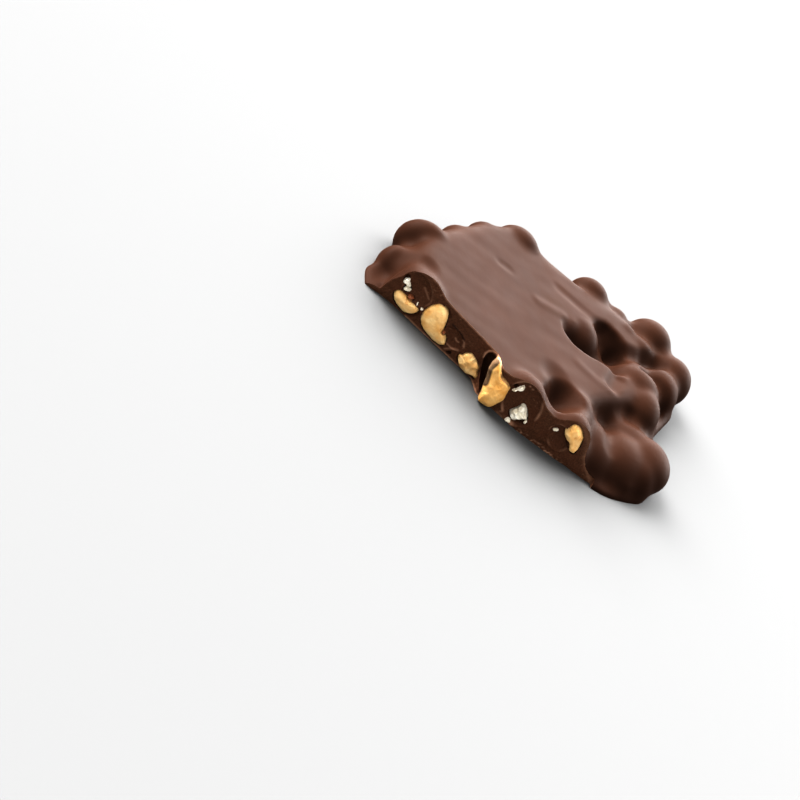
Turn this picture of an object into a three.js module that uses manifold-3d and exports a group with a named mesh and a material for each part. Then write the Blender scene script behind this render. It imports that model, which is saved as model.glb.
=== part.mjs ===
// A broken piece of dark chocolate bark with roasted nuts in it, lying flat on its moulded underside.
// Units are millimetres and +Z is up. The broken edge runs along X and faces -Y.
// The piece is laid out from its break corner: the left end of the foot of the broken edge.
import * as THREE from "three";
import { ConvexGeometry } from "three/addons/geometries/ConvexGeometry.js";
import { mergeVertices } from "three/addons/utils/BufferGeometryUtils.js";
import Module from "manifold-3d";

const wasm = await Module();
wasm.setup();

// ---- Driving dimensions ----

// Where the break corner lies, seen from the middle of the finished piece.
const BREAK_CORNER = [-43.8, -39.9, 0];

// The thin sheet of chocolate that ran out round the nuts.
const SHEET_TOP = 5.2;
const SHEET_EDGE = 2.2;
const SHEET_OUTLINE = [
  [-6, -14], [-9.5, 5], [-8, 27], [7, 50], [17, 66], [46, 72], [60, 79], [78, 87],
  [95, 81], [98, 60], [93, 42], [95.5, 22], [95.5, 13], [86, 3.5], [79.5, 1.2], [71, -4], [62, -14],
];

// The feathered skirt at the left end of the break.
const SKIRT_TOP = 3.2;
const SKIRT_SLOPE = 0.25;
const SKIRT_EDGE = 1.4;
const SKIRT_OUTLINE = [[-3, -12], [-10.5, -4], [-14, 0.5], [-11, 6], [-3, 8]];

// The thick plateau over the nuts, with a bay let into its far right side.
const PLATEAU_TOP = 13.3;
const PLATEAU_FALL_X = 0.05;
const PLATEAU_FALL_LENGTH = 32;
const PLATEAU_FALL_Y = 0.006;
const PLATEAU_DIP = 1.8;
const PLATEAU_DIP_FROM = 34;
const PLATEAU_DIP_RAMP = 8;
const PLATEAU_DIP_DEPTH = 14;
const PLATEAU_EDGE = 4.5;
const PLATEAU_OUTLINE = [
  [-4, -14], [-4.5, 4], [-2, 14], [3, 29], [9, 43], [19, 63], [32, 71], [47, 72], [66, 77],
  [76, 73], [80, 66], [66, 59], [55, 46.5], [51, 46], [50, 43], [53.5, 39], [58, 40],
  [73, 49], [80, 55], [87, 52], [89, 40], [77, 24], [66, -2], [62, -14],
];

// The nuts buried under the chocolate show as lumps: centre, then half-sizes along X, Y and Z.
const LUMPS = {
  overCrescent: [[3.6, -1, 6], [9, 9, 8.2]],
  cornerBack: [[-0.6, 26, 6.6], [7.8, 7.8, 8]],
  cornerFront: [[-7.2, 7.5, 4.6], [4.6, 7, 5.4]],
  behindBreak: [[-1.5, 13, 6.5], [5, 6, 5.6]],
  leftLow: [[8, 41, 5.6], [5, 5, 5]],
  leftLowFar: [[16, 56.5, 5.2], [6, 6, 5.2]],
  farCorner: [[26, 67, 6.5], [8, 7, 6.8]],
  farMiddle: [[54.5, 77, 5.6], [7, 6.2, 6.3]],
  farLow: [[66.5, 77.4, 5.6], [5.5, 5, 5.2]],
  farRight: [[80.5, 82.5, 6.2], [8.4, 8, 7.6]],
  rightFar: [[91, 73.5, 6], [8.6, 8.6, 7.2]],
  bayBack: [[75.8, 67, 5.6], [7, 6, 6]],
  bayLeft: [[57, 53.5, 6], [7, 7.4, 7]],
  cornerFill: [[83, 74.5, 5], [6.5, 6.5, 5.8]],
  rightOuter: [[88, 61, 6.3], [8.2, 8, 8]],
  rightInner: [[81, 54, 6.8], [7.8, 9, 8]],
  rightMiddle: [[83.5, 38, 6], [8.6, 8.5, 7.4]],
  saddle: [[84, 25, 3], [9, 10, 6.5]],
  frontRight: [[88.8, 16.8, 6.2], [9.2, 9.2, 8.2]],
  frontFoot: [[84, 10, 3.6], [9.6, 8.6, 7]],
  behindRightNut: [[68, 10, 6], [8, 8.6, 8]],
  overRightNut: [[61, 0, 5.6], [8, 8.6, 8]],
  overImprint: [[45, -4, 6.4], [7.4, 9, 8]],
};
const LUMP_FILLET = 4.2;
const PLATEAU_FILLET = 5;
const SKIRT_FILLET = 1.5;

// The foot of the broken edge, seen from above. It steps forward at the nut that stands proud.
const BREAK_LINE = [
  [-30, -3.5], [-14, -3], [0, 0], [33, -1.5], [38, -6.2], [52, -5.6],
  [60, -3.8], [70, -1.6], [79.5, 0.8], [90, -4], [130, -4],
];

// Nut meat in the break: balls that make up each nut, centre and half-sizes, and balls cut from it.
const NUTS = {
  nut_crescent: { balls: [[[2.2, 1, 4.6], [4.5, 6, 3.9]]], cuts: [[[2.2, 0, 9.5], [7, 12, 4.8]]] },
  nut_round: { balls: [[[10.4, 0.8, 6.4], [4.1, 4.6, 4.3]], [[15.2, 0.5, 3], [3.2, 3, 2.3]]] },
  nut_low: { balls: [[[26, -0.5, 3.5], [2.9, 3.4, 2.8]], [[29.6, -0.8, 2.7], [2.8, 3, 2]]] },
  nut_right: { balls: [[[63.2, -1.5, 9.2], [3.7, 4, 3.1]], [[65.4, -1.4, 6.6], [1.9, 2.6, 2.4]]] },
  nut_crumb: { balls: [[[46.6, -5.2, 3.7], [2.9, 2, 2.3]]] },
};
const NUT_STANDS_OUT = 0.4;

// The nut that stands proud of the break, by its corners.
const PROUD_NUT_CORNERS = [
  [31.6, -3.6, 11.4], [34.4, -5, 10.6], [37.8, -7, 9.4], [38.6, -7.6, 5.6], [38, -9.4, 2.6],
  [35.4, -10.4, 1], [33.6, -10, 2.6], [32, -7.4, 6.6], [31, -5, 9.6], [33, -1.2, 8.6],
  [36.6, -2.6, 8], [36.4, -3, 3.4], [33.6, -2, 4.4],
];

// Hollows in the break where nuts have come away: centre and half-sizes.
const HOLLOWS = {
  aboveCrescent: [[1.5, -2.6, 9.4], [5.2, 4.4, 3.6]],
  besideProudNut: [[29.6, -1, 9.2], [2.2, 4.2, 3.4]],
  roundImprint: [[44, -8.2, 7.6], [7.2, 4.4, 6.6]],
  besideRightNut: [[58.4, -4.8, 6.2], [3.6, 3.2, 3.8]],
};

const FIT_GAP = 0.35;
const NET_CELL = 2.4;
const BALL_SEGMENTS = 16;
const NET_LOW = [-18, -18, -7];
const NET_HIGH = [104, 96, 18];
const UNDER_BASE = 2;
const CUTTER_HEIGHT = 40;
const CUTTER_REACH = 60;

// ---- Solids: closed meshes that can be joined and cut ----

function solidFrom(geometry) {
  const bare = geometry.clone();
  bare.deleteAttribute("normal");
  bare.deleteAttribute("uv");
  const merged = mergeVertices(bare, 1e-4);
  return new wasm.Manifold(
    new wasm.Mesh({
      numProp: 3,
      vertProperties: merged.attributes.position.array,
      triVerts: new Uint32Array(merged.index.array),
    }),
  );
}

function geometryFrom(solid) {
  const { vertProperties, triVerts } = solid.getMesh();
  const geometry = new THREE.BufferGeometry();
  geometry.setAttribute("position", new THREE.BufferAttribute(vertProperties, 3));
  geometry.setIndex(new THREE.BufferAttribute(triVerts, 1));
  geometry.computeVertexNormals();
  return geometry;
}

function ball([centre, halves], grow = 0) {
  const geometry = new THREE.SphereGeometry(1, BALL_SEGMENTS, Math.round(BALL_SEGMENTS * 0.6));
  geometry.scale(...halves.map((half) => half + grow));
  geometry.translate(...centre);
  return solidFrom(geometry);
}

// ---- The poured chocolate, as a distance field: negative inside, positive outside ----

const clamp = (value, low, high) => Math.min(Math.max(value, low), high);

// The smaller of two distances, with a fillet where they meet.
function filleted(a, b, width) {
  const overlap = Math.max(width - Math.abs(a - b), 0) / width;
  return Math.min(a, b) - (overlap ** 3 * width) / 6;
}

// Distance in plan to an outline, negative inside it.
function planDistance(x, y, outline) {
  let nearest = Infinity;
  let inside = false;
  outline.forEach(([x1, y1], i) => {
    const [x2, y2] = outline[(i + 1) % outline.length];
    const along = [x2 - x1, y2 - y1];
    const share = clamp(
      ((x - x1) * along[0] + (y - y1) * along[1]) / (along[0] ** 2 + along[1] ** 2), 0, 1);
    nearest = Math.min(nearest, Math.hypot(x - x1 - share * along[0], y - y1 - share * along[1]));
    if (y1 > y !== y2 > y && x < x1 + ((y - y1) * along[0]) / along[1]) inside = !inside;
  });
  return inside ? -nearest : nearest;
}

// A plate of one outline and height with its upper edge rounded over.
function plateDistance(x, y, z, outline, top, edge) {
  const out = planDistance(x, y, outline) + edge;
  const up = z - top + edge;
  return Math.min(Math.max(out, up), 0) + Math.hypot(Math.max(out, 0), Math.max(up, 0)) - edge;
}

function lumpDistance(x, y, z, [centre, halves]) {
  const q = [x - centre[0], y - centre[1], z - centre[2]];
  const near = Math.hypot(q[0] / halves[0], q[1] / halves[1], q[2] / halves[2]);
  const slope = Math.hypot(q[0] / halves[0] ** 2, q[1] / halves[1] ** 2, q[2] / halves[2] ** 2);
  return (near * (near - 1)) / Math.max(slope, 1e-6);
}

function plateauTop(x, y) {
  const dipX = clamp((x - PLATEAU_DIP_FROM) / PLATEAU_DIP_RAMP, 0, 1);
  const dipY = clamp((PLATEAU_DIP_DEPTH - y) / PLATEAU_DIP_DEPTH, 0, 1);
  return (
    PLATEAU_TOP -
    PLATEAU_FALL_X * clamp(x, 0, PLATEAU_FALL_LENGTH) -
    PLATEAU_FALL_Y * Math.max(y, 0) -
    PLATEAU_DIP * dipX * dipY
  );
}

function chocolateDistance(x, y, z) {
  const skirtTop = SKIRT_TOP + SKIRT_SLOPE * x;
  let distance = plateDistance(x, y, z, SHEET_OUTLINE, SHEET_TOP, SHEET_EDGE);
  const skirt = plateDistance(x, y, z, SKIRT_OUTLINE, skirtTop, SKIRT_EDGE);
  distance = filleted(distance, skirt, SKIRT_FILLET);
  const plateau = plateDistance(x, y, z, PLATEAU_OUTLINE, plateauTop(x, y), PLATEAU_EDGE);
  distance = filleted(distance, plateau, PLATEAU_FILLET);
  for (const lump of Object.values(LUMPS))
    distance = filleted(distance, lumpDistance(x, y, z, lump), LUMP_FILLET);
  return Math.max(distance, -UNDER_BASE - z);
}

// ---- A net of quads over a field: one point in each grid cell that the surface passes through ----

function netOver(field, low, high, cell) {
  const counts = low.map((value, axis) => Math.ceil((high[axis] - value) / cell) + 1);
  const key = (i, j, k) => (i * counts[1] + j) * counts[2] + k;
  const place = (index, axis) => low[axis] + index * cell;
  const values = new Float64Array(counts[0] * counts[1] * counts[2]);
  for (let i = 0; i < counts[0]; i++)
    for (let j = 0; j < counts[1]; j++)
      for (let k = 0; k < counts[2]; k++)
        values[key(i, j, k)] = field(place(i, 0), place(j, 1), place(k, 2));

  // Chocolate fills the narrowest creases: each value moves halfway to the mean of its neighbours'.
  const sharp = values.slice();
  for (let i = 1; i < counts[0] - 1; i++)
    for (let j = 1; j < counts[1] - 1; j++)
      for (let k = 1; k < counts[2] - 1; k++) {
        const around =
          sharp[key(i - 1, j, k)] + sharp[key(i + 1, j, k)] + sharp[key(i, j - 1, k)] +
          sharp[key(i, j + 1, k)] + sharp[key(i, j, k - 1)] + sharp[key(i, j, k + 1)];
        values[key(i, j, k)] = sharp[key(i, j, k)] / 2 + around / 12;
      }

  const corners = [0, 1, 2, 3, 4, 5, 6, 7].map((bits) => [bits & 1, (bits >> 1) & 1, bits >> 2]);
  const positions = [];
  const pointOf = new Map();
  // The point of a cell: the mean of where the surface crosses the cell's edges.
  function cellPoint(i, j, k) {
    const id = key(i, j, k);
    if (pointOf.has(id)) return pointOf.get(id);
    const sum = [0, 0, 0];
    let crossings = 0;
    for (const a of corners)
      for (let axis = 0; axis < 3; axis++) {
        if (a[axis] === 1) continue;
        const b = a.map((value, other) => (other === axis ? 1 : value));
        const va = values[key(i + a[0], j + a[1], k + a[2])];
        const vb = values[key(i + b[0], j + b[1], k + b[2])];
        if (va < 0 === vb < 0) continue;
        const share = va / (va - vb);
        a.forEach((value, other) => (sum[other] += value + share * (b[other] - value)));
        crossings++;
      }
    positions.push(...[i, j, k].map((index, axis) => place(index + sum[axis] / crossings, axis)));
    pointOf.set(id, positions.length / 3 - 1);
    return pointOf.get(id);
  }

  const faces = [];
  for (let i = 1; i < counts[0] - 1; i++)
    for (let j = 1; j < counts[1] - 1; j++)
      for (let k = 1; k < counts[2] - 1; k++)
        for (let axis = 0; axis < 3; axis++) {
          const step = [0, 1, 2].map((other) => (other === axis ? 1 : 0));
          const here = values[key(i, j, k)] < 0;
          const next = values[key(i + step[0], j + step[1], k + step[2])] < 0;
          if (here === next) continue;
          const [u, v] = [(axis + 1) % 3, (axis + 2) % 3];
          // The four cells round this grid edge, in turn.
          const ring = [[0, 0], [1, 0], [1, 1], [0, 1]].map(([du, dv]) => {
            const index = [i, j, k];
            index[u] -= du;
            index[v] -= dv;
            return cellPoint(...index);
          });
          if (!here) ring.reverse();
          faces.push(ring[0], ring[1], ring[2], ring[0], ring[2], ring[3]);
        }

  const geometry = new THREE.BufferGeometry();
  geometry.setAttribute("position", new THREE.Float32BufferAttribute(positions, 3));
  geometry.setIndex(faces);
  return geometry;
}

// ---- Cutters ----

// All that lies in front of the broken edge, moved forward by a given distance.
function inFrontOfBreak(forward = 0) {
  const outline = BREAK_LINE.map(([x, y]) => new THREE.Vector2(x, y - forward));
  const [left, right] = [BREAK_LINE[0][0], BREAK_LINE.at(-1)[0]];
  outline.push(new THREE.Vector2(right, -CUTTER_REACH), new THREE.Vector2(left, -CUTTER_REACH));
  const geometry = new THREE.ExtrudeGeometry(new THREE.Shape(outline), {
    depth: CUTTER_HEIGHT, bevelEnabled: false });
  geometry.translate(0, 0, -CUTTER_HEIGHT / 2);
  return solidFrom(geometry);
}

function belowBase() {
  const size = 4 * CUTTER_REACH;
  const geometry = new THREE.BoxGeometry(size, size, CUTTER_HEIGHT);
  geometry.translate(CUTTER_REACH, CUTTER_REACH, -CUTTER_HEIGHT / 2);
  return solidFrom(geometry);
}

// ---- Nuts ----

function buriedNut({ balls, cuts = [] }, grow = 0) {
  let nut = ball(balls[0], grow);
  for (const more of balls.slice(1)) nut = nut.add(ball(more, grow));
  for (const cut of cuts) nut = nut.subtract(ball(cut, -grow));
  return nut;
}

function proudNut(grow = 0) {
  const corners = PROUD_NUT_CORNERS.map((corner) => new THREE.Vector3(...corner));
  const middle = new THREE.Vector3();
  corners.forEach((corner) => middle.addScaledVector(corner, 1 / corners.length));
  // Each corner moves away from the middle, a little further than the wanted gap.
  for (const corner of corners) {
    const outward = corner.clone().sub(middle).normalize();
    corner.addScaledVector(outward, 2 * grow);
  }
  return solidFrom(new ConvexGeometry(corners));
}

// ---- Pieces ----

function chocolateSlab() {
  let slab = solidFrom(netOver(chocolateDistance, NET_LOW, NET_HIGH, NET_CELL));
  slab = slab.subtract(belowBase()).subtract(inFrontOfBreak());
  for (const hollow of Object.values(HOLLOWS)) slab = slab.subtract(ball(hollow));
  for (const nut of Object.values(NUTS)) slab = slab.subtract(buriedNut(nut, FIT_GAP));
  return slab.subtract(proudNut(FIT_GAP));
}

const chocolateFinish = () =>
  new THREE.MeshStandardMaterial({ color: 0x4b2d22, roughness: 0.38, metalness: 0 });
const nutFinish = (color) => new THREE.MeshStandardMaterial({ color, roughness: 0.55, metalness: 0 });

function piece(name, solid, material) {
  const mesh = new THREE.Mesh(geometryFrom(solid), material);
  mesh.name = name;
  return mesh;
}

const NUT_COLOURS = {
  nut_crescent: 0xe0ad62,
  nut_round: 0xe0a95c,
  nut_low: 0xdfb270,
  nut_right: 0xd6a156,
  nut_crumb: 0xd9cdb6,
};

const bark = new THREE.Group();
bark.add(piece("chocolate_slab", chocolateSlab(), chocolateFinish()));
const flush = inFrontOfBreak(NUT_STANDS_OUT);
for (const [name, nut] of Object.entries(NUTS))
  bark.add(piece(name, buriedNut(nut).subtract(flush), nutFinish(NUT_COLOURS[name])));
bark.add(piece("nut_proud", proudNut(), nutFinish(0xdc9a48)));
bark.position.set(...BREAK_CORNER);

export default bark;
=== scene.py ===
import math

import bpy
import numpy
from mathutils import Matrix, Vector, noise


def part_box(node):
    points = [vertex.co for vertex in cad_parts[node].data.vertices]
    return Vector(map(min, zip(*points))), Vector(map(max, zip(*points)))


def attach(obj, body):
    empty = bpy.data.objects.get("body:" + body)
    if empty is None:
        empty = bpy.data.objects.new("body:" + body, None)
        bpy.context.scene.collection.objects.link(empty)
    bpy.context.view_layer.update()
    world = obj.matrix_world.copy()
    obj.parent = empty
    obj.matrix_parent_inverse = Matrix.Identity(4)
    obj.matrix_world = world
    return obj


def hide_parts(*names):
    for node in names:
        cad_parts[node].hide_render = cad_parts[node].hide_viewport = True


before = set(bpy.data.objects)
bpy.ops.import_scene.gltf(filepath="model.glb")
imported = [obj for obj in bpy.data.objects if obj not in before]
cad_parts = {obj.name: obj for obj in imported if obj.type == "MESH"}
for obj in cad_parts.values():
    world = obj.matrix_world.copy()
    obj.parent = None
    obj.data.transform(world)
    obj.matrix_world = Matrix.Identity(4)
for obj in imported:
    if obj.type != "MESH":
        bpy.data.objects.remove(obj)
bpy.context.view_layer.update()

# A broken piece of dark chocolate bark with roasted nuts in it. Places are in millimetres from the
# break corner, the left end of the foot of the broken edge: X along the edge, Y back, Z up.
MM = 0.001
PROUD_NUT_LOW = Vector((31.0, -10.4, 1.0))  # the low corner of the proud nut's box
BREAK_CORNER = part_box("nut_proud")[0] - PROUD_NUT_LOW * MM


def at(x, y, z=0.0):
    return BREAK_CORNER + Vector((x, y, z)) * MM


# ---- The photograph's view of the piece, which leans in it and lies flat here ----

LEAN = math.radians(42)  # how far the piece's left end is tipped up
HEADING = math.radians(78)  # how far the broken edge turns away from the view
VIEW_HEIGHT = math.radians(30)  # how steeply the camera looks down
VIEW_DISTANCE = 650.0
PIXELS = 800
SENSOR = 36.0
MM_PER_PIXEL = 0.28
CORNER_PIXEL = (392.5, 304.1)  # where the break corner shows
NEAREST_SEEN, FURTHEST_SEEN = 0.01, 20  # in metres


def add_camera():
    along = Vector((math.cos(LEAN) * math.sin(HEADING), -math.cos(LEAN) * math.cos(HEADING), -math.sin(LEAN)))
    into = Vector((math.cos(HEADING), math.sin(HEADING), 0))
    upward = along.cross(into)
    to_piece = Matrix((along, into, upward))
    right = to_piece @ Vector((1, 0, 0))
    up = to_piece @ Vector((0, math.sin(VIEW_HEIGHT), math.cos(VIEW_HEIGHT)))
    back = to_piece @ Vector((0, -math.cos(VIEW_HEIGHT), math.sin(VIEW_HEIGHT)))
    aside = (CORNER_PIXEL[0] - PIXELS / 2) * MM_PER_PIXEL
    above = (PIXELS / 2 - CORNER_PIXEL[1]) * MM_PER_PIXEL
    place = at(*(back * VIEW_DISTANCE - right * aside - up * above))
    data = bpy.data.cameras.new("view")
    data.sensor_width = SENSOR
    data.lens = SENSOR * VIEW_DISTANCE / MM_PER_PIXEL / PIXELS
    data.clip_start, data.clip_end = NEAREST_SEEN, FURTHEST_SEEN
    camera = bpy.data.objects.new("view", data)
    bpy.context.scene.collection.objects.link(camera)
    camera.matrix_world = Matrix.Translation(place) @ Matrix((right, up, back)).transposed().to_4x4()
    bpy.context.scene.camera = camera


add_camera()

# ---- Modelling ----

RIM_STEPS = 5
BALL_SIDES, BALL_RINGS = 32, 20


def only(piece):
    bpy.ops.object.select_all(action="DESELECT")
    piece.select_set(True)
    bpy.context.view_layer.objects.active = piece


def settle(piece):
    """Puts a piece's place, turn and size into its mesh."""
    only(piece)
    bpy.ops.object.transform_apply(location=True, rotation=True, scale=True)
    return piece


def finished_with(piece, kind, **settings):
    """Adds a modifier and applies it."""
    modifier = piece.modifiers.new(kind.title(), kind)
    for name, value in settings.items():
        setattr(modifier, name, value)
    only(piece)
    bpy.ops.object.modifier_apply(modifier=modifier.name)
    return piece


def in_finish(piece, finish):
    piece.data.materials.clear()
    piece.data.materials.append(finish)
    return piece


def copy_of(piece):
    twin = piece.copy()
    twin.data = piece.data.copy()
    bpy.context.scene.collection.objects.link(twin)
    return twin


def joined(pieces):
    bpy.ops.object.select_all(action="DESELECT")
    for piece in pieces:
        piece.select_set(True)
    bpy.context.view_layer.objects.active = pieces[0]
    bpy.ops.object.join()
    return pieces[0]


def cut_away(piece, cutter):
    finished_with(
        piece, "BOOLEAN", operation="DIFFERENCE", solver="MANIFOLD", object=cutter, material_mode="TRANSFER")
    bpy.data.objects.remove(cutter)
    return piece


def puffed(piece, thickness):
    """Moves a piece's surface out by a thickness, or in by a negative one."""
    return finished_with(piece, "DISPLACE", strength=thickness * MM, mid_level=0.0)


def ball(centre, halves, turn=0):
    bpy.ops.mesh.primitive_uv_sphere_add(
        segments=BALL_SIDES, ring_count=BALL_RINGS, radius=MM, location=at(*centre), scale=halves,
        rotation=(0, 0, math.radians(turn)))
    return settle(bpy.context.object)


def start_editing_all():
    bpy.ops.object.mode_set(mode="EDIT")
    bpy.ops.mesh.select_all(action="SELECT")


def face_out_and_stop_editing():
    bpy.ops.mesh.select_all(action="SELECT")
    bpy.ops.mesh.normals_make_consistent(inside=False)
    bpy.ops.object.mode_set(mode="OBJECT")


def plate(outline, low, top, edge):
    """A flat plate with its upper rim rounded over."""
    bpy.ops.mesh.primitive_circle_add(vertices=len(outline), fill_type="NGON")
    piece = bpy.context.object
    for vertex, (x, y) in zip(piece.data.vertices, outline):
        vertex.co = at(x, y, low)
    start_editing_all()
    bpy.ops.mesh.extrude_region_move(TRANSFORM_OT_translate={"value": (0, 0, (top - low) * MM)})
    bpy.ops.mesh.bevel(offset=edge * MM, segments=RIM_STEPS, affect="EDGES")
    face_out_and_stop_editing()
    return piece


def places_of(piece):
    """Where a piece's vertices are, in millimetres from the break corner, one row each."""
    flat = numpy.empty(len(piece.data.vertices) * 3)
    piece.data.vertices.foreach_get("co", flat)
    return (flat.reshape(-1, 3) - BREAK_CORNER) / MM


def placed(piece, places):
    piece.data.vertices.foreach_set("co", (places * MM + BREAK_CORNER).ravel())
    piece.data.update()
    return piece


def away_from(points, line):
    """How far each point, a pair of numbers, is from a line through the given points."""
    nearest = numpy.full(len(points), numpy.inf)
    for start, end in zip(line, line[1:] or line):
        start, along = numpy.array(start), numpy.subtract(end, start)
        share = numpy.clip((points - start) @ along / max(along @ along, 1e-9), 0, 1)
        nearest = numpy.minimum(nearest, numpy.hypot(*(points - start - share[:, None] * along).T))
    return nearest


def painted(piece, marks_and_painted_light):
    """Gives a piece's vertices the number its finish is lightened or darkened by."""
    marks = piece.data.attributes.new("marks_and_painted_light", "FLOAT", "POINT")
    marks.data.foreach_set("value", marks_and_painted_light)
    return piece


# ---- The poured chocolate ----

SHEET_OUTLINE = [
    (-3, -14), (-3.5, -3), (-5.5, 5), (-7, 12), (-6.5, 27), (7, 50), (17, 66), (46, 72), (60, 79), (78, 87),
    (95, 81), (98, 60), (93, 42), (95.5, 22), (95.5, 13), (88, 6), (80, 4), (72, -0.5), (66, -8), (60, -14)]
SKIRT_OUTLINE = [(-3, -12), (-8.5, -6), (-10, -2.6), (-11.5, 2), (-12, 5.5), (-11, 9), (-3, 8)]
TOE_OUTLINE = [
    (64, -12), (72, -6), (77.5, -1.8), (82, -0.4), (86, 2), (91, 6.2), (95.3, 10.5), (97.2, 14), (96, 20), (70, 14)]
PLATEAU_OUTLINE = [
    (-4, -14), (-4.5, 4), (-4.5, 16), (-3.2, 27), (0.5, 35.5), (4, 42.5), (9.5, 54.5), (14, 61), (19, 68),
    (25, 72.5), (31, 71), (36, 70.5), (47, 72), (66, 77), (76, 73), (82, 62), (84, 50), (81, 38), (75, 30),
    (69, 22), (61, 8), (57, -2), (54, -14)]
BAY_OUTLINE = [
    (46.8, 43.5), (47.8, 40.8), (49.8, 38.7), (52.5, 37.4), (56, 37.6), (59.8, 39), (63.3, 41), (66.5, 42),
    (70, 42.8), (74.5, 45.5), (75, 53), (73, 58.5), (68, 62.5), (62, 63.5), (58.5, 60.5), (54.5, 54), (49, 47.5)]
# The plates reach below the underside, which is cut flat at 0. Their tops, and how far their rims are rounded over.
UNDER_BASE = -6.0
SHEET_TOP, SHEET_RIM = 5.2, 2.2
SKIRT_TOP, SKIRT_RIM = 1.1, 0.7
TOE_TOP, TOE_RIM = 1.4, 1.0
PLATEAU_TOP, PLATEAU_RIM = 13.3, 4.5
BAY_FLOOR, BAY_CEILING, BAY_RIM = 1.5, 20, 1.5
# How much lower the plateau is for each millimetre to the right, as far as FALL_END, and for each millimetre back.
FALL_RIGHT, FALL_END, FALL_BACK = 0.05, 32, 0.006
FALL_FULL_AT = 9  # the plateau's side leans into the fall from its foot up to this height
# The lumps over buried nuts: middle, half-widths and, where it isn't 0, the turn in degrees.
LUMPS = [
    ((3, -1.5, 6), (8.9, 9, 8.9)), ((-1.6, 27, 5.5), (8.6, 6.2, 8.2)), ((-6.4, 12.5, 2.8), (4.6, 6, 5.8)),
    ((-3, 11, 4.5), (4, 7, 6.6)), ((7.2, 42, 6), (5.5, 5.5, 6)), ((15, 56, 6), (6, 6, 6)),
    ((26, 67, 6.5), (8, 7, 6.8)), ((55.3, 77, 6), (7.2, 6.4, 6.6)), ((66.5, 77.4, 5.6), (5.5, 5, 5.2)),
    ((80.5, 82.5, 6.2), (8.4, 8, 7.6)), ((91.4, 73.5, 5.4), (8.2, 8.4, 8.2)), ((77, 70, 5), (7.5, 6.5, 7)),
    ((55, 52.5, 3.3), (9.8, 9, 8.5)), ((50.5, 48.3, 3), (8.5, 5.2, 8.6), 55), ((83, 75, 4.5), (6.5, 6.5, 5.6)),
    ((88, 61.5, 5), (8, 9, 8)), ((79.8, 50.5, 5.5), (9.6, 8.5, 7.8)), ((83.5, 43, 5), (7.5, 9.5, 8)),
    ((85, 26, 0), (12, 9, 9.6)), ((91, 23, 4.2), (9.2, 10, 7.2)), ((83.5, 17, -2), (15.2, 12.2, 11.9), 54),
    ((89.5, 17.5, 1), (8, 9, 8.6)), ((64.5, -1, 1), (7, 8, 8.6), -40), ((71, 10.5, -1.5), (12.5, 12.5, 11)),
    ((61.3, -1.5, 6), (7.7, 8.6, 8.9)), ((61, 12, 3), (9, 10, 9.8)), ((62, 6.5, 5), (6.2, 8, 7.6)),
    ((43.5, -4.5, 5), (9, 9, 10)), ((70, 71, 5.5), (6, 5.5, 6.3)), ((65, 64.5, 1), (7.5, 6.5, 8))]
# Soft pushes on the poured surface: how far they reach, how far they lift, and the line (x, y) they follow.
STROKES = [
    (7, -6.2, [(53.6, 4.2), (55.2, 9)]), (7, -1.0, [(50, 13)]),
    (4, -1.3, [(70.5, 40.5), (69.5, 34)]), (3, 0.2, [(56.5, 29), (64, 29), (70, 31)]),
    (4.5, -1.0, [(-7, 8), (-4, 7), (0, 7.5)]), (3.2, -2.4, [(-5.8, -4), (-5.4, -1)]),
    (4.5, -2.4, [(70, 57), (77, 62), (84, 69)]), (2.6, -1.1, [(78.6, 55.1), (84.6, 57), (88, 55.5), (91, 53)]),
    (4.5, -0.7, [(73.5, 24), (75, 17), (76, 10)]), (2.4, -0.25, [(20.6, 41.8), (24.6, 43.2)]),
    (2.8, -0.25, [(42, 57.4), (50, 58), (60, 59.5)]), (3, 0.3, [(37, 41.4), (46.5, 45.8)])]
STROKES_FROM, STROKES_FULL = 1, 4  # the heights between which the pushes set in, so that the foot stays flat
FLOW_TURN = math.radians(24)  # the poured surface has set in long low folds that run this way
FLOW_LONG, FLOW_SHORT = 22.0, 5.0
FLOW_HEIGHT = 0.1
CREASE_FILL = 2.2
PLATEAU_NET, MELTING_NET, SURFACE_NET = 1.0, 0.8, 0.6  # how fine the mesh is at each stage
PLATEAU_SMOOTHING, MELTING_SMOOTHING, SURFACE_SMOOTHING = 10, 4, 10


def plateau_height(x, y):
    return PLATEAU_TOP - FALL_RIGHT * min(x, FALL_END) - FALL_BACK * y


def netted(piece, cell):
    return finished_with(piece, "REMESH", mode="VOXEL", voxel_size=cell * MM)


def smoothed(piece, iterations):
    return finished_with(piece, "SMOOTH", factor=0.5, iterations=iterations)


def stroked(piece):
    """Pushes the poured surface up or down along lines, fading out to each push's reach, and adds the flow folds."""
    places = places_of(piece)
    above = numpy.clip((places[:, 2] - STROKES_FROM) / (STROKES_FULL - STROKES_FROM), 0, 1)
    lift = numpy.zeros(len(places))
    for reach, height, line in STROKES:
        lift += height * (1 - numpy.clip(away_from(places[:, :2], line) / reach, 0, 1) ** 2) ** 2
    along = places[:, 0] * math.cos(FLOW_TURN) + places[:, 1] * math.sin(FLOW_TURN)
    across = places[:, 1] * math.cos(FLOW_TURN) - places[:, 0] * math.sin(FLOW_TURN)
    folds = [noise.noise((u / FLOW_LONG, v / FLOW_SHORT, 0)) for u, v in zip(along, across)]
    places[:, 2] += above * (lift + FLOW_HEIGHT * numpy.array(folds))
    return placed(piece, places)


def poured_plateau():
    piece = plate(PLATEAU_OUTLINE, UNDER_BASE, PLATEAU_TOP, PLATEAU_RIM)
    smoothed(netted(piece, PLATEAU_NET), PLATEAU_SMOOTHING)
    cut_away(piece, plate(BAY_OUTLINE, BAY_CEILING, BAY_FLOOR, BAY_RIM))
    for vertex in piece.data.vertices:
        x, y, z = (vertex.co - BREAK_CORNER) / MM
        share = min(max(z / FALL_FULL_AT, 0), 1)
        vertex.co.z += share * (plateau_height(x, y) - PLATEAU_TOP) * MM
    return piece


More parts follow.
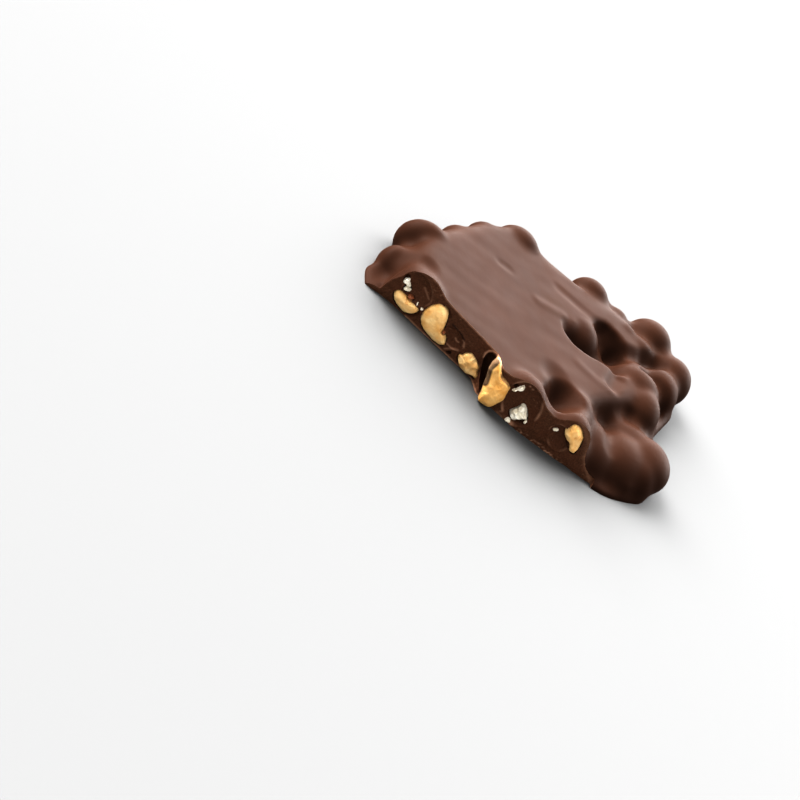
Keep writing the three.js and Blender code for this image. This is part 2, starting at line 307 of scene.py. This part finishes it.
def melted_chocolate():
    parts = [
        poured_plateau(), plate(SHEET_OUTLINE, UNDER_BASE, SHEET_TOP, SHEET_RIM),
        plate(SKIRT_OUTLINE, UNDER_BASE, SKIRT_TOP, SKIRT_RIM), plate(TOE_OUTLINE, UNDER_BASE, TOE_TOP, TOE_RIM)]
    parts += [ball(*lump) for lump in LUMPS]
    slab = joined(parts)
    slab.name = "poured_chocolate"
    netted(slab, MELTING_NET)
    # The creases between the lumps fill in as melted chocolate does: out, one skin, and back in.
    puffed(slab, CREASE_FILL)
    smoothed(netted(slab, MELTING_NET), MELTING_SMOOTHING)
    puffed(slab, -CREASE_FILL)
    smoothed(stroked(netted(slab, SURFACE_NET)), SURFACE_SMOOTHING)
    only(slab)
    start_editing_all()
    bpy.ops.mesh.bisect(plane_co=at(0, 0), plane_no=(0, 0, 1), use_fill=True, clear_inner=True)
    bpy.ops.object.mode_set(mode="OBJECT")
    return slab


# ---- The break ----

# Seen from above: where along the edge, and how far back the break lies there.
BREAK_LINE = [
    (-30, -3.5), (-14, -3), (0, 0), (30.5, -1.4), (33.5, -5.6), (38, -6.2), (52, -5.6), (60, -3.8), (70, -1.6),
    (77.7, 0.3), (79, -4), (130, -5)]
BREAK_LEFT, BREAK_RIGHT = -16.0, 86.0
BREAK_LOW, BREAK_TOP = -2.0, 18.0
BREAK_GRAIN = 0.25
BREAK_REACH = 30.0
# Waves in the break, from broad to fine: how wide, how high.
BREAK_WAVES = [(9, 1.0), (2.2, 0.5), (0.7, 0.2)]
# Beds that nuts and bubbles have left in the break: middle (x, z), half-widths, turn in degrees, depth, and how
# light the lip round it is.
BEDS = [
    ((1.4, 9.2), (5.7, 3.8), -22, 1.3, 0.2), ((18.7, 5.5), (4.2, 2.7), -12, 0.9, 0.3),
    ((44.9, 7.5), (7.4, 5.6), -60, 1.7, 0.5), ((59.8, 6.4), (4.9, 3.1), -45, 1.4, 0.4)]
BED_SHARE = 0.5  # how far down into its bed a nut or crumb is set
LIP_HEIGHT = 0.18
# Where the lip is highest and where it is lightest, with 1 the edge of the bed, and how narrow each is.
LIP_PLACE, LIP_WIDTH = 1.05, 0.06
LIGHT_PLACE, LIGHT_WIDTH = 1, 0.05


def break_depth(x):
    xs, ys = zip(*BREAK_LINE)
    return numpy.interp(x, xs, ys)


def bed_share(bed, x, z):
    """0 at the middle of a bed, 1 at its edge."""
    (middle_x, middle_z), (half_long, half_short), turn, _, _ = bed
    turn = math.radians(turn)
    long = (x - middle_x) * math.cos(turn) + (z - middle_z) * math.sin(turn)
    short = (z - middle_z) * math.cos(turn) - (x - middle_x) * math.sin(turn)
    return numpy.hypot(long / half_long, short / half_short)


def bed_depth(x, z):
    """How far behind the plain break its beds lie, their raised lips in front of it."""
    depth = 0.0
    for bed in BEDS:
        share = bed_share(bed, x, z)
        bowl = numpy.sqrt(numpy.clip(1 - share ** 2, 0, 1))
        depth = depth + bed[3] * bowl - LIP_HEIGHT * numpy.exp(-(((share - LIP_PLACE) / LIP_WIDTH) ** 2))
    return depth


def roughened(piece, size, height, direction="NORMAL", kind="CLOUDS"):
    grain = bpy.data.textures.new("grain", kind)
    grain.noise_scale = size * MM
    return finished_with(
        piece, "DISPLACE", texture=grain, texture_coords="GLOBAL", strength=height * MM, mid_level=0.5,
        direction=direction)


def breaking_block():
    """What broke off in front: a block whose back is the broken surface."""
    width = BREAK_RIGHT - BREAK_LEFT
    height = BREAK_TOP - BREAK_LOW
    columns, rows = round(width / BREAK_GRAIN), round(height / BREAK_GRAIN)
    bpy.ops.mesh.primitive_grid_add(x_subdivisions=columns, y_subdivisions=rows, size=1)
    block = bpy.context.object
    grid = numpy.empty(len(block.data.vertices) * 3)
    block.data.vertices.foreach_get("co", grid)
    grid = grid.reshape(-1, 3) + 0.5
    x = BREAK_LEFT + grid[:, 0] * width
    z = BREAK_LOW + grid[:, 1] * height
    placed(block, numpy.stack([x, break_depth(x) + bed_depth(x, z), z], axis=1))
    for wide, high in BREAK_WAVES:
        roughened(block, wide, high, "Y")
    only(block)
    start_editing_all()
    bpy.ops.mesh.extrude_region_move(TRANSFORM_OT_translate={"value": (0, -BREAK_REACH * MM, 0)})
    face_out_and_stop_editing()
    return block


# ---- Finishes: shader maths written as expressions ----

# The Mix node's sockets, by number, for colours.
MIX_SHARE, MIX_FIRST, MIX_SECOND, MIXED_COLOUR = 0, 6, 7, 2


class Value:
    """A number or colour that varies over a surface. Arithmetic on it adds Math nodes."""

    def __init__(self, finish, socket):
        self.finish = finish
        self.socket = socket

    def maths(self, operation, other):
        return self.finish.node("ShaderNodeMath", {"operation": operation}, {0: self, 1: other})

    def __add__(self, other):
        return self.maths("ADD", other)

    __radd__ = __add__

    def __mul__(self, other):
        return self.maths("MULTIPLY", other)

    __rmul__ = __mul__


class Shading:
    """A node tree that is written as expressions."""

    def __init__(self, tree):
        self.tree = tree

    def node(self, kind, settings, inputs, output=0):
        """Adds a node: its settings first, then the values or links of its sockets."""
        node = self.tree.nodes.new(kind)
        for name, value in settings.items():
            setattr(node, name, value)
        for name, value in inputs.items():
            if isinstance(value, Value):
                self.tree.links.new(value.socket, node.inputs[name])
            else:
                node.inputs[name].default_value = value
        return Value(self, node.outputs[output])

    def between(self, value, low, high, to_low=0.0, to_high=1.0, step="LINEAR"):
        return self.node(
            "ShaderNodeMapRange", {"clamp": True, "interpolation_type": step},
            {"Value": value, "From Min": low, "From Max": high, "To Min": to_low, "To Max": to_high})


class Finish(Shading):
    """A material with one Principled shader, whose plain values are set on its own sockets."""

    def __init__(self, name, **plain):
        self.material = bpy.data.materials.new(name)
        self.material.use_nodes = True
        super().__init__(self.material.node_tree)
        self.shader = self.tree.nodes["Principled BSDF"]
        for socket, value in plain.items():
            self.shader.inputs[socket.replace("_", " ")].default_value = value

    def noise(self, size, detail, roughness=0.5):
        place = self.node("ShaderNodeTexCoord", {}, {}, "Object")
        return self.node(
            "ShaderNodeTexNoise", {},
            {"Vector": place, "Scale": 1 / (size * MM), "Detail": detail, "Roughness": roughness})

    def mixed(self, share, first, second):
        first, second = (colour if isinstance(colour, Value) else (*colour, 1) for colour in (first, second))
        return self.node(
            "ShaderNodeMix", {"data_type": "RGBA"}, {MIX_SHARE: share, MIX_FIRST: first, MIX_SECOND: second},
            MIXED_COLOUR)

    def painted_lighter_or_darker(self, colour, light, dark):
        """Lightens or darkens a colour by what is painted on the piece."""
        # The attribute holds real marks and painted light: a painted highlight on the break's rim and painted shade
        # on the proud nut.
        marks_and_painted_light = self.node("ShaderNodeAttribute", {"attribute_name": "marks_and_painted_light"}, {}, "Fac")
        lightened = self.mixed(self.between(marks_and_painted_light, 0, 1), colour, light)
        return self.mixed(self.between(marks_and_painted_light, 0, -1), lightened, dark)

    def feed(self, socket, value):
        self.tree.links.new(value.socket, self.shader.inputs[socket])

    def bump(self, height, depth):
        self.feed("Normal", self.node("ShaderNodeBump", {}, {"Height": height, "Distance": depth * MM}))


# Colours are linear red, green and blue.
POURED_DARK, POURED_LIGHT = (0.0176, 0.0073, 0.0041), (0.0208, 0.0088, 0.0051)
BROKEN_DARK, BROKEN_LIGHT = (0.06, 0.025, 0.012), (0.116, 0.0485, 0.024)
BROKEN_PATCH, BROKEN_SPECK = (0.095, 0.034, 0.016), (0.2, 0.11, 0.065)
# The light one is painted on the lips of the beds, on scratches and on the crumbly foot, and as a painted highlight
# along the rim.
BROKEN_MARKS_AND_HIGHLIGHT, BROKEN_DEEP = (0.42, 0.24, 0.155), (0.012, 0.005, 0.003)
# Nuts have light meat, darker meat, toasted places and skin, in this order.
ROASTED = (0.87, 0.62, 0.3), (0.76, 0.44, 0.15), (0.54, 0.25, 0.07), (0.2, 0.11, 0.06)
# The proud nut's colours: the roasted nut darkened as painted shade against the strong light it stands out into, its
# last colour the darkest painted on it.
ROASTED_WITH_PAINTED_SHADE = (0.72, 0.47, 0.19), (0.63, 0.34, 0.1), (0.48, 0.24, 0.06), (0.07, 0.045, 0.03)
PALE = (0.97, 0.93, 0.82), (0.88, 0.8, 0.62), (0.75, 0.62, 0.42), (0.3, 0.2, 0.1)
SKIN = (0.42, 0.16, 0.07), (0.25, 0.085, 0.035), (0.16, 0.05, 0.02), (0.1, 0.03, 0.012)
NUT_SHEEN, LIT_NUT_SHEEN = 0.35, 0.04
FOOD_IOR = 1.45


def poured_finish():
    """Chocolate that has set smooth, with a soft bloom."""
    finish = Finish("poured chocolate", IOR=FOOD_IOR, Specular_IOR_Level=0.0075)
    shade = finish.noise(14, 3)
    finish.feed("Base Color", finish.mixed(finish.between(shade, 0.3, 0.7), POURED_DARK, POURED_LIGHT))
    finish.feed("Roughness", finish.between(finish.noise(6, 4), 0.25, 0.75, 0.42, 0.5))
    finish.bump(finish.noise(2.5, 3), 0.02)
    return finish.material


def broken_finish():
    """Chocolate where it broke: grainy, patchy and flecked, with lighter marks and a painted highlight on its rims.
    """
    finish = Finish("broken chocolate", IOR=FOOD_IOR, Specular_IOR_Level=0.1)
    grain = finish.noise(0.5, 5, 0.65)
    patch = finish.noise(4, 3)
    colour = finish.mixed(finish.between(grain, 0.35, 0.7), BROKEN_DARK, BROKEN_LIGHT)
    colour = finish.mixed(finish.between(patch, 0.35, 0.75, 0, 0.6), colour, BROKEN_PATCH)
    specks = finish.between(finish.noise(0.9, 2), 0.66, 0.72)
    colour = finish.mixed(specks * 0.4, colour, BROKEN_SPECK)
    finish.feed("Base Color", finish.painted_lighter_or_darker(colour, BROKEN_MARKS_AND_HIGHLIGHT, BROKEN_DEEP))
    finish.feed("Roughness", finish.between(grain, 0.3, 0.7, 0.7, 0.5))
    finish.bump(grain, 0.12)
    return finish.material


def nut_finish(name, colours, sheen=NUT_SHEEN):
    # The last colour is what a piece is painted darker towards; on the proud nut that is its darker strip and its
    # painted shade.
    light, dark, toasted, skin = colours
    finish = Finish(name, IOR=FOOD_IOR, Specular_IOR_Level=sheen)
    colour = finish.mixed(finish.between(finish.noise(3, 4), 0.35, 0.65), dark, light)
    colour = finish.mixed(finish.between(finish.noise(1.6, 4), 0.6, 0.75, 0, 0.6), colour, toasted)
    finish.feed("Base Color", finish.painted_lighter_or_darker(colour, light, skin))
    finish.feed("Roughness", finish.between(finish.noise(0.8, 4), 0.3, 0.7, 0.45, 0.6))
    finish.bump(finish.noise(0.6, 4), 0.08)
    return finish.material


# ---- What is in the break, each drawn by the outline of its section: (x, z) ----

NUTS = {
    "crescent": [
        (-2.3, 4.2), (-1.8, 4.9), (-0.8, 5.0), (0.3, 5.0), (1.0, 5.1), (1.5, 4.4), (2.4, 4.4), (3.6, 4.9), (5.0, 4.9),
        (6.3, 4.7), (6.5, 3.8), (6.3, 2.7), (5.7, 1.7), (4.5, 0.8), (2.9, 0.5), (1.0, 0.8), (-0.7, 1.3), (-1.7, 2.2),
        (-2.4, 3.4)],
    "round": [
        (8.4, 9.7), (9.3, 10.5), (10.7, 10.6), (12.4, 10.1), (13.4, 9.0), (14.0, 7.7), (14.6, 6.5), (15.0, 5.1),
        (15.4, 3.9), (16.1, 4.0), (17.0, 4.1), (18.0, 2.8), (18.6, 1.9), (18.2, 1.2), (17.2, 0.7), (15.9, 0.4),
        (14.3, 0.4), (12.9, 0.7), (11.2, 0.7), (9.5, 1.6), (8.1, 2.8), (7.3, 4.7), (7.2, 6.4), (7.5, 8.2)],
    "low": [
        (23.2, 2.7), (23.4, 3.4), (24.2, 3.3), (24.2, 4.6), (24.5, 5.5), (25.2, 6.0), (26.4, 6.0), (27.9, 5.3),
        (28.9, 5.0), (30.0, 4.4), (30.4, 3.2), (30.6, 2.6), (31.5, 2.5), (32.3, 2.2), (32.7, 1.0), (31.8, 0.7),
        (30.2, 0.4), (28.5, 0.3), (26.6, 0.3), (25.0, 0.6), (23.9, 1.5)],
    "right": [
        (59.6, 13.0), (60.4, 13.3), (62.0, 13.3), (63.6, 12.3), (64.9, 11.1), (65.8, 9.5), (66.5, 7.6), (66.6, 6.2),
        (67.1, 4.9), (66.4, 4.6), (65.2, 4.9), (64.1, 6.3), (63.4, 7.2), (62.3, 7.1), (61.0, 7.8), (59.6, 9.0),
        (59.4, 10.3), (59.5, 11.9)],
    # The crumb is a pale piece in the big bed, where its bright white spot is partly a glint painted as pale nut.
    "crumb": [
        (44.6, 2.4), (44.3, 3.6), (44.6, 4.4), (45.3, 4.9), (45.0, 5.6), (45.5, 6.4), (45.4, 7.3), (46.3, 7.2),
        (47.3, 6.4), (48.1, 5.9), (49.1, 5.2), (49.1, 4.2), (48.2, 3.5), (47.5, 2.6), (46.6, 1.9), (45.4, 1.9)],
}
NUT_PLANES = {"low": -1.25}  # this one sits in a plane of its own, and the others in the break
FACETS = {"low": (0.8, 2.2), "right": (0.6, 2.4), "crumb": (1.3, 1.5)}  # how deep and how wide where a nut broke
POCKET_GAP = 0.3
PROUD_NUT = [
    (30.2, 13.4), (31.4, 13.0), (32.7, 12.1), (33.8, 11.0), (34.9, 10.0), (35.9, 10.2), (37.4, 10.3), (38.6, 9.6),
    (39.2, 8.4), (39.5, 7.3), (40.0, 5.9), (40.2, 4.9), (39.9, 3.1), (39.4, 1.1), (38.9, 0.0), (37.7, -0.4),
    (36.4, -0.7), (34.9, -0.7), (34.5, 0.6), (33.9, 2.4), (33.0, 4.2), (32.3, 5.8), (31.3, 7.7), (30.3, 9.4),
    (29.9, 10.8), (30.0, 12.4)]
PROUD_DEPTH = -7.0  # the outline above is drawn in this plane
PROUD_LEAN = 0.15  # the nut leans back by this much for each millimetre up
PROUD_FACETS = (0.3, 2.4)
# A darker strip is painted along this line, out to a distance that fades from full to none, and painted shade over
# the side that faces the light.
PROUD_DARK_STRIP_LINE = [(30.2, 12.6), (30.3, 9.4), (32.5, 5.3)]
STRIP_FULL, STRIP_NONE = 1.1, 1.5
# The painted shade darkens the side that faces this way, towards the light from the upper left and behind: where it
# starts, over what it fades in, and at most how much.
PAINTED_SHADE_FACING = (-0.4, 0.7, 0.6)
PAINTED_SHADE_STARTS, PAINTED_SHADE_FADE, PAINTED_SHADE_MOST = -0.25, 0.5, 0.85
DARKENING_STRENGTH = 0.95
# What the camera sees move right and down as a point moves one millimetre back.
SEEN_SHIFT = (0.243, -0.56)
# Small pale pieces where the break shows bright white spots: partly nut crumbs, partly glints painted as pale bits.
PALE_CRUMBS_AND_GLINTS = [
    [(-3.1, 8.8), (-2.8, 9.5), (-2.0, 9.8), (-1.5, 9.4), (-1.2, 8.7), (0.0, 8.1), (-0.9, 7.6), (-1.9, 7.8),
     (-2.8, 7.9)],
    [(-1.2, 5.9), (-1.3, 6.8), (-1.0, 7.3), (0.0, 7.3), (0.7, 7.2), (0.2, 6.4), (-0.5, 5.9)],
    [(5.7, 5.9), (6.5, 6.1), (7.0, 5.8), (7.0, 4.9), (6.3, 5.0)],
    [(4.5, 4.9), (4.3, 6.1), (4.8, 6.2), (5.1, 4.9)],
    [(39.6, 8.6), (39.9, 9.5), (40.4, 10.1), (40.4, 11.3), (41.0, 11.9), (41.1, 12.7), (41.7, 11.8), (42.2, 11.5),
     (41.6, 10.7), (40.9, 9.7), (40.1, 8.6)],
    [(49.1, 3.4), (49.4, 4.4), (49.9, 4.3), (49.9, 3.3)],
    [(44.3, 0.3), (44.8, 1.0), (45.5, 1.1), (46.5, 1.1), (47.0, 0.4), (46.2, 0.2), (45.0, 0.1)],
    [(56.6, 7.6), (56.8, 8.6), (57.4, 8.9), (58.0, 8.5), (57.9, 7.9), (57.2, 7.4)]]
CRUMB_FACETS = (0.6, 0.8)
SKINS = [
    [(0.7, 5.4), (1.2, 6.1), (3.3, 6.2), (2.7, 5.3), (1.8, 4.7)],
    [(15.0, 4.6), (15.2, 5.4), (16.4, 4.9), (16.0, 4.1)]]
# Small hollows: how deep, and the outline.
HOLLOWS = [
    (2.5, [(20.0, 0.6), (20.2, 1.4), (21.0, 2.1), (21.7, 1.9), (21.5, 0.9), (20.8, 0.5)]),
    (1.8, [(-3.9, 10.3), (-3.7, 11.0), (-2.6, 10.7), (-1.4, 9.5), (-2.3, 7.6), (-3.3, 8.1)]),
    (2.6, [(39.1, 9.7), (39.1, 10.8), (40.0, 11.4), (40.5, 10.6), (39.8, 9.6)]),
    (3.2, [(43.7, 2.5), (43.6, 3.8), (44.7, 5.2), (44.7, 7.2), (45.4, 8.5), (47.8, 7.0), (49.7, 5.1), (50.2, 3.5),
           (48.5, 2.3), (46.7, 1.3), (45.1, 1.5)]),
    (1.2, [(9.5, 11.0), (10.7, 11.5), (12.7, 11.0), (14.4, 10.0), (14.3, 8.8), (12.0, 10.1)]),
    (1.1, [(0.1, 0.6), (3.0, 0.3), (5.3, 0.5), (7.1, 2.3), (7.5, 4.2), (6.4, 5.1), (5.9, 3.1)]),
    (2.2, [(-1.7, 5.9), (-2.0, 7.3), (-0.7, 8.3), (0.9, 7.7), (1.1, 6.7), (-0.4, 5.3)]),
    (1.5, [(58.7, 9.4), (59.1, 10.0), (62.0, 7.3), (63.8, 7.3), (64.9, 5.6), (63.5, 5.3), (60.6, 7.4)]),
    (1.2, [(0.3, 5.6), (1.2, 6.6), (3.6, 6.5), (3.5, 5.3), (2.0, 4.4)])]
# The deep place behind the proud nut, drawn in a plane of its own.
PROUD_HOLLOW = [
    (29.6, 5.9), (28.4, 7.9), (28.1, 9.7), (28.8, 11.0), (31.0, 10.9), (33.2, 9.4), (36.2, 5.4), (37.5, 1.4),
    (36.4, -0.3), (34.4, 0.6), (32.4, 2.2), (30.6, 4.1)]
PROUD_HOLLOW_PLANE = -1.4
# Each shape from its face back: how far behind the break, and the size of the section there.
NUT_LOFT = [(-1.1, 0.3), (-0.95, 0.62), (-0.5, 0.88), (0.2, 1.0), (1.4, 1.04), (3.2, 0.95), (4.8, 0.6)]
PROUD_LOFT = [(-1.5, 0.4), (-1.35, 0.7), (-0.9, 0.9), (0, 1.0), (1.6, 1.0), (3.4, 0.9), (5.2, 0.6)]
CRUMB_LOFT = [(-0.8, 0.35), (-0.5, 0.8), (0.1, 1.05), (0.9, 0.95), (1.6, 0.5)]
PROUD_HOLLOW_LOFT = [(-9, 1.0), (0.5, 1.0), (2.5, 0.9), (4.0, 0.5)]
HOLLOW_LOFT = [(-1.0, 1.0), (0.05, 1.0), (0.6, 0.88), (1.0, 0.5)]  # behind the break, as a share of the depth
FINE, COARSE = 3, 2  # how often a lofted shape is subdivided
# Fine unevenness on a nut, and how sharp an edge still shades smooth.
NUT_GRAIN, NUT_GRAIN_HEIGHT = 1.2, 0.25
FACETED_ANGLE, SMOOTH_ANGLE, SLAB_ANGLE = 35, 80, 50


def lofted(name, outline, rings, levels=FINE):
    """A closed body through rings of places, each as many as the outline has, rounded over."""
    bpy.ops.mesh.primitive_circle_add(vertices=len(outline), fill_type="NGON")
    piece = bpy.context.object
    piece.name = name
    for vertex, place in zip(piece.data.vertices, rings[0]):
        vertex.co = place
    for ring in rings[1:]:
        bpy.ops.object.mode_set(mode="EDIT")
        bpy.ops.mesh.extrude_region_move()
        bpy.ops.object.mode_set(mode="OBJECT")
        for vertex, place in zip(piece.data.vertices[-len(outline):], ring):
            vertex.co = place
    only(piece)
    bpy.ops.object.mode_set(mode="EDIT")
    face_out_and_stop_editing()
    return finished_with(piece, "SUBSURF", levels=levels, render_levels=levels)


def in_break(name, outline, loft, levels=FINE, plane=None):
    """A body set in the break, drawn by its section there, or in a plane if one is given."""
    middle_x, middle_z = numpy.mean(outline, axis=0)
    bed = BED_SHARE * bed_depth(middle_x, middle_z) if plane is None else 0
    seen_x, seen_z = SEEN_SHIFT[0] * bed, SEEN_SHIFT[1] * bed
    rings = []
    for depth, size in loft:
        ring = []
        for x, z in outline:
            face = break_depth(x) if plane is None else plane
            x, z = middle_x + (x - middle_x) * size, middle_z + (z - middle_z) * size
            ring.append(at(x + seen_x, face + bed + depth, z + seen_z))
        rings.append(ring)
    return lofted(name, outline, rings, levels)


def proud_nut():
    """The nut that stands out of the break, leaning back at its tip."""
    middle_x, middle_z = numpy.mean(PROUD_NUT, axis=0)
    rings = []
    for depth, size in PROUD_LOFT:
        ring = []
        for x, z in PROUD_NUT:
            lean = PROUD_LEAN * (z - middle_z)
            x, z = middle_x + (x - middle_x) * size, middle_z + (z - middle_z) * size
            ring.append(at(x + SEEN_SHIFT[0] * lean, PROUD_DEPTH + depth + lean, z + SEEN_SHIFT[1] * lean))
        rings.append(ring)
    return lofted("proud_nut", PROUD_NUT, rings)


def smooth_nut(piece, finish, facet_depth=0.0, facet_width=None):
    """Gives a nut its finish and its uneven surface, with broken facets if it has them."""
    in_finish(piece, finish)
    if facet_depth:
        roughened(piece, facet_width, facet_depth, kind="VORONOI")
    roughened(piece, NUT_GRAIN, NUT_GRAIN_HEIGHT)
    only(piece)
    bpy.ops.object.shade_smooth_by_angle(angle=math.radians(FACETED_ANGLE if facet_depth else SMOOTH_ANGLE))
    return piece


def darker_strip_and_painted_shade_on_proud_nut(nut):
    """Paints a darker strip along the upper left side of the proud nut, and painted shade over the side that faces
    the light.
    """
    places = places_of(nut)
    as_seen = places[:, [0, 2]] - numpy.outer(places[:, 1] - PROUD_DEPTH, SEEN_SHIFT)
    side = away_from(as_seen, PROUD_DARK_STRIP_LINE)
    # Painted shade: darker where the nut faces the light from the upper left and behind.
    facing_the_light = numpy.array([vertex.normal.dot(PAINTED_SHADE_FACING) for vertex in nut.data.vertices])
    on_side = numpy.clip((STRIP_NONE - side) / (STRIP_NONE - STRIP_FULL), 0, 1)
    painted_shade_share = numpy.clip((facing_the_light - PAINTED_SHADE_STARTS) / PAINTED_SHADE_FADE, 0, PAINTED_SHADE_MOST)
    return painted(nut, -DARKENING_STRENGTH * numpy.maximum(on_side, painted_shade_share))


# ---- Light and dark places painted on the break, and a painted highlight along its rim ----

# Lines: how light, half-width, and the line (x, z).
SCRATCHES = [
    (0.35, 0.3, [(3.0, 10.1), (4.4, 9.4), (5.9, 8.7)]), (0.6, 0.25, [(19.3, 5.6), (20.0, 5.2), (20.7, 5.3)]),
    (0.6, 0.25, [(21.1, 7.0), (21.7, 6.8), (22.4, 5.6)]),
    (0.4, 0.28, [(19.3, 1.2), (20.1, 2.3), (21.3, 3.1), (22.3, 3.6)]),
    (0.8, 0.28, [(28.5, 7.9), (28.0, 9.1), (28.1, 10.4), (28.9, 11.2), (30.1, 11.5), (31.1, 11.2)]),
    (-0.8, 0.35, [(15.8, 8.5), (17.0, 8.4), (18.9, 8.2), (20.9, 7.7)]),
    (0.55, 0.3, [(4.9, 0.2), (34.6, 0.2)]), (0.3, 0.6, [(42, 0.2), (47, 0.2)]),
    # The next two follow the upper rim from over the right nut down to the right end: painted highlight along the
    # rim.
    (0.22, 0.6, [(69.7, 6.2), (72.9, 3.6), (75.8, 1.7), (78.0, 0.1)]),
    (0.16, 0.8, [(57.1, 14.0), (59.8, 15.2), (63.7, 13.4), (67.4, 10.5), (69.6, 7.1)]),
    (0.7, 0.3, [(42.7, 13.0)]), (0.6, 0.3, [(43.9, 12.8)]), (0.5, 0.3, [(42.3, 1.3)])]
PAINT_DEPTH = 1.5  # how far behind the break its paint reaches
RIM_DEPTH = 0.8  # how far behind it the surface still counts as its upper rim
RIM_COLUMNS = 2  # for each millimetre along the edge
RIM_WIDTH = 0.32
# How bright the painted highlight along the rim is, and how light the crumbly foot is, along the edge.
RIM_HIGHLIGHT = [0, 5, 12, 30, 38, 55, 70], [0.1, 0.5, 0.8, 0.8, 0.35, 0.3, 0.1]
FOOT_LIGHT = [46, 52, 62, 68], [0, 1, 1, 0]
FOOT_HEIGHT = 1.4
# Clouds that break up the light: how wide, how high, and the layer of the noise they are read from.
LIP_CLOUDS = (3.5, 3.5, 7)
FOOT_CLOUDS = (0.9, 0.7, 0)


def clouds(x, z, shape):
    wide, high, layer = shape
    return numpy.array([noise.noise((a / wide, layer, b / high)) for a, b in zip(x, z)])


def below_the_rim(x, y, z):
    """How far each place is below the highest place of the break in its own column."""
    columns = numpy.round(x * RIM_COLUMNS).astype(int)
    first = columns.min()
    tops = numpy.zeros(columns.max() - first + 1)
    front = y < break_depth(x) + RIM_DEPTH
    numpy.maximum.at(tops, columns[front] - first, z[front])
    return numpy.maximum(tops[columns - first] - z, 0)


def break_marks_and_painted_highlight(piece):
    """Light and dark places on the break: the lips of the beds, scratches, a painted highlight along its rim and the
    crumbly foot.
    """
    places = places_of(piece)
    x, y, z = places.T
    marks_and_painted_light = numpy.zeros(len(places))
    broken_up = numpy.clip(0.55 + 2.4 * clouds(x, z, LIP_CLOUDS), 0, 1.5)
    for bed in BEDS:
        marks_and_painted_light += bed[4] * numpy.exp(-(((bed_share(bed, x, z) - LIGHT_PLACE) / LIGHT_WIDTH) ** 2)) * broken_up
    for light, half_width, line in SCRATCHES:
        marks_and_painted_light += light * numpy.exp(-((away_from(places[:, [0, 2]], line) / half_width) ** 2))
    # Painted highlight along the upper rim of the break.
    marks_and_painted_light += numpy.interp(x, *RIM_HIGHLIGHT) * numpy.exp(-((below_the_rim(x, y, z) / RIM_WIDTH) ** 2))
    foot = numpy.interp(x, *FOOT_LIGHT) * numpy.clip(FOOT_HEIGHT - z, 0, 1)
    marks_and_painted_light += foot * numpy.clip(2.2 * clouds(x, z, FOOT_CLOUDS), 0, 1)
    near = y < break_depth(x) + bed_depth(x, z) + PAINT_DEPTH
    return painted(piece, marks_and_painted_light * near)


# ---- The table and the light ----

TABLE_SIZE = 6
TABLE_GREY = 0.075
# Broad soft lights: where each comes from, how close to that it starts and is full (cosines), and how strong it is.
LIGHTS = [((-0.72, 0.42, 0.52), 0.82, 1.0, 62.0), ((0.3, 0.85, 0.43), 0.62, 1.0, 28.0)]
ALL_ROUND = 1.3
VIEW_GAMMA = 0.76


def stage_floor():
    bpy.ops.mesh.primitive_plane_add(size=TABLE_SIZE, location=(0, 0, 0))
    floor = settle(bpy.context.object)
    floor.name = "table_top"
    grey = (TABLE_GREY, TABLE_GREY, TABLE_GREY, 1)
    finish = Finish("pale table", Base_Color=grey, Roughness=0.9, Specular_IOR_Level=0.1)
    in_finish(floor, finish.material)


def light_the_scene():
    """Soft light from the upper left, some from behind, and a little all round."""
    world = bpy.data.worlds.new("studio")
    world.use_nodes = True
    sky = Shading(world.node_tree)
    direction = sky.node("ShaderNodeTexCoord", {}, {}, "Generated")
    strength = ALL_ROUND
    for light_from, start, full, power in LIGHTS:
        towards = sky.node(
            "ShaderNodeVectorMath", {"operation": "DOT_PRODUCT"}, {0: direction, 1: Vector(light_from).normalized()},
            "Value")
        strength = strength + sky.between(towards, start, full, 0.0, power, "SMOOTHSTEP")
    background = world.node_tree.nodes["Background"]
    background.inputs["Color"].default_value = (1, 1, 1, 1)
    world.node_tree.links.new(strength.socket, background.inputs["Strength"])
    bpy.context.scene.world = world
    bpy.context.scene.view_settings.view_transform = "Standard"
    bpy.context.scene.view_settings.gamma = VIEW_GAMMA


# ---- The pieces ----

poured = poured_finish()
broken = broken_finish()
gold = nut_finish("roasted nut", ROASTED)
gold_with_painted_shade = nut_finish("roasted nut with painted shade", ROASTED_WITH_PAINTED_SHADE, LIT_NUT_SHEEN)
pale = nut_finish("pale nut", PALE)
skin = nut_finish("nut skin", SKIN)

slab = in_finish(melted_chocolate(), poured)
cut_away(slab, in_finish(breaking_block(), broken))
for depth, outline in HOLLOWS:
    loft = [(share * (depth if share > 0 else 1), size) for share, size in HOLLOW_LOFT]
    cut_away(slab, in_finish(in_break("hollow", outline, loft, COARSE), broken))
proud_hollow = in_break("hollow", PROUD_HOLLOW, PROUD_HOLLOW_LOFT, COARSE, PROUD_HOLLOW_PLANE)
cut_away(slab, in_finish(proud_hollow, broken))

for name, outline in NUTS.items():
    nut = in_break(name + "_nut", outline, NUT_LOFT, plane=NUT_PLANES.get(name))
    cut_away(slab, in_finish(puffed(copy_of(nut), POCKET_GAP), broken))
    smooth_nut(nut, pale if name == "crumb" else gold, *FACETS.get(name, ()))
    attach(nut, "root")
    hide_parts("nut_" + name)

nut = darker_strip_and_painted_shade_on_proud_nut(smooth_nut(proud_nut(), gold_with_painted_shade, *PROUD_FACETS))
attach(nut, "root")
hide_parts("nut_proud")

crumbs_and_glints = joined([smooth_nut(in_break("pale_crumbs_and_glints", outline, CRUMB_LOFT), pale, *CRUMB_FACETS) for outline in PALE_CRUMBS_AND_GLINTS])
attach(crumbs_and_glints, "root")

skins = joined([smooth_nut(in_break("skin_flakes", outline, CRUMB_LOFT, COARSE), skin) for outline in SKINS])
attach(skins, "root")

break_marks_and_painted_highlight(slab)
only(slab)
bpy.ops.object.shade_smooth_by_angle(angle=math.radians(SLAB_ANGLE))
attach(slab, "root")
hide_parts("chocolate_slab")

stage_floor()
light_the_scene()
